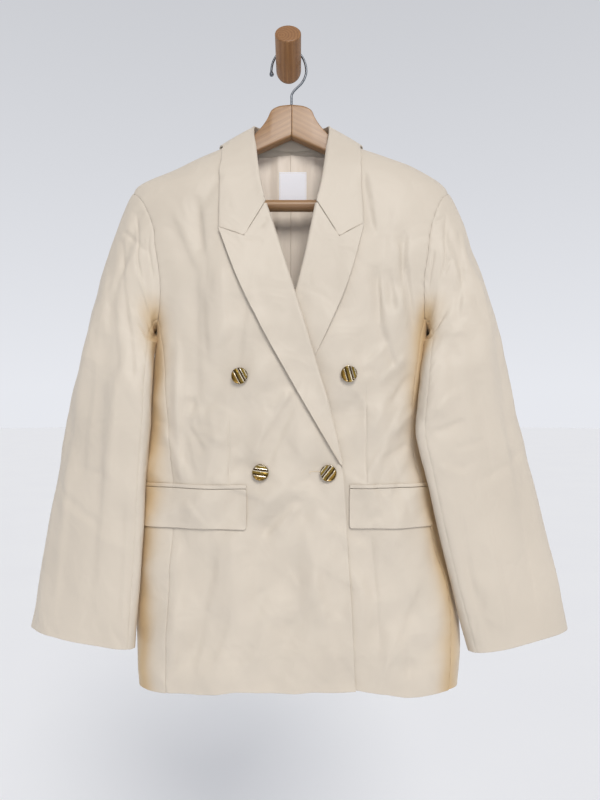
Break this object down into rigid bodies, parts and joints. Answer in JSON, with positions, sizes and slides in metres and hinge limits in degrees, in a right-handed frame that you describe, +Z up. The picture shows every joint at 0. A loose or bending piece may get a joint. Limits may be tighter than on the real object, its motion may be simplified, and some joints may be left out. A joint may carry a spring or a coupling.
{
  "type": "double breasted blazer on a wooden hanger and wall peg",
  "caption": "Cropped-length double breasted blazer in cream cotton with peak lapels, flap pockets and ridged gilt buttons, on a wooden hanger hooked over a slanted wall peg.",
  "frame": {"origin": "middle of the peg's cut end, in the plane of the wall it is fixed to", "axes": "+Z up, +Y into the wall (the blazer's front faces -Y), +X to the wearer's left and a viewer's right"},
  "size_m": [0.7128, 0.1129, 0.8784],
  "materials": {
    "cotton_sateen": "soft satin",
    "lining_satin": "satin",
    "label_tape": "woven",
    "gilt_metal": "polished",
    "beech": "lacquered",
    "oiled_wood": "oiled",
    "steel_wire": "satin"
  },
  "bodies": {
    "root": {"front_right": "cotton_sateen", "front_left": "cotton_sateen", "side_right": "cotton_sateen", "side_left": "cotton_sateen", "back_right": "cotton_sateen", "back_left": "cotton_sateen", "lapel_right": "cotton_sateen", "lapel_left": "cotton_sateen", "collar": "cotton_sateen", "sleeve_top_right": "cotton_sateen", "sleeve_top_left": "cotton_sateen", "sleeve_under_right": "cotton_sateen", "sleeve_under_left": "cotton_sateen", "welt_right": "cotton_sateen", "welt_left": "cotton_sateen", "flap_right": "cotton_sateen", "flap_left": "cotton_sateen", "button_upper_right": "gilt_metal", "button_upper_left": "gilt_metal", "button_lower_right": "gilt_metal", "button_lower_left": "gilt_metal", "lining_back": "lining_satin", "neck_label": "label_tape", "hanger_body": "beech", "hanger_bar": "beech", "hanger_hook": "steel_wire", "wall_peg": "oiled_wood"}
  },
  "joints": []
}
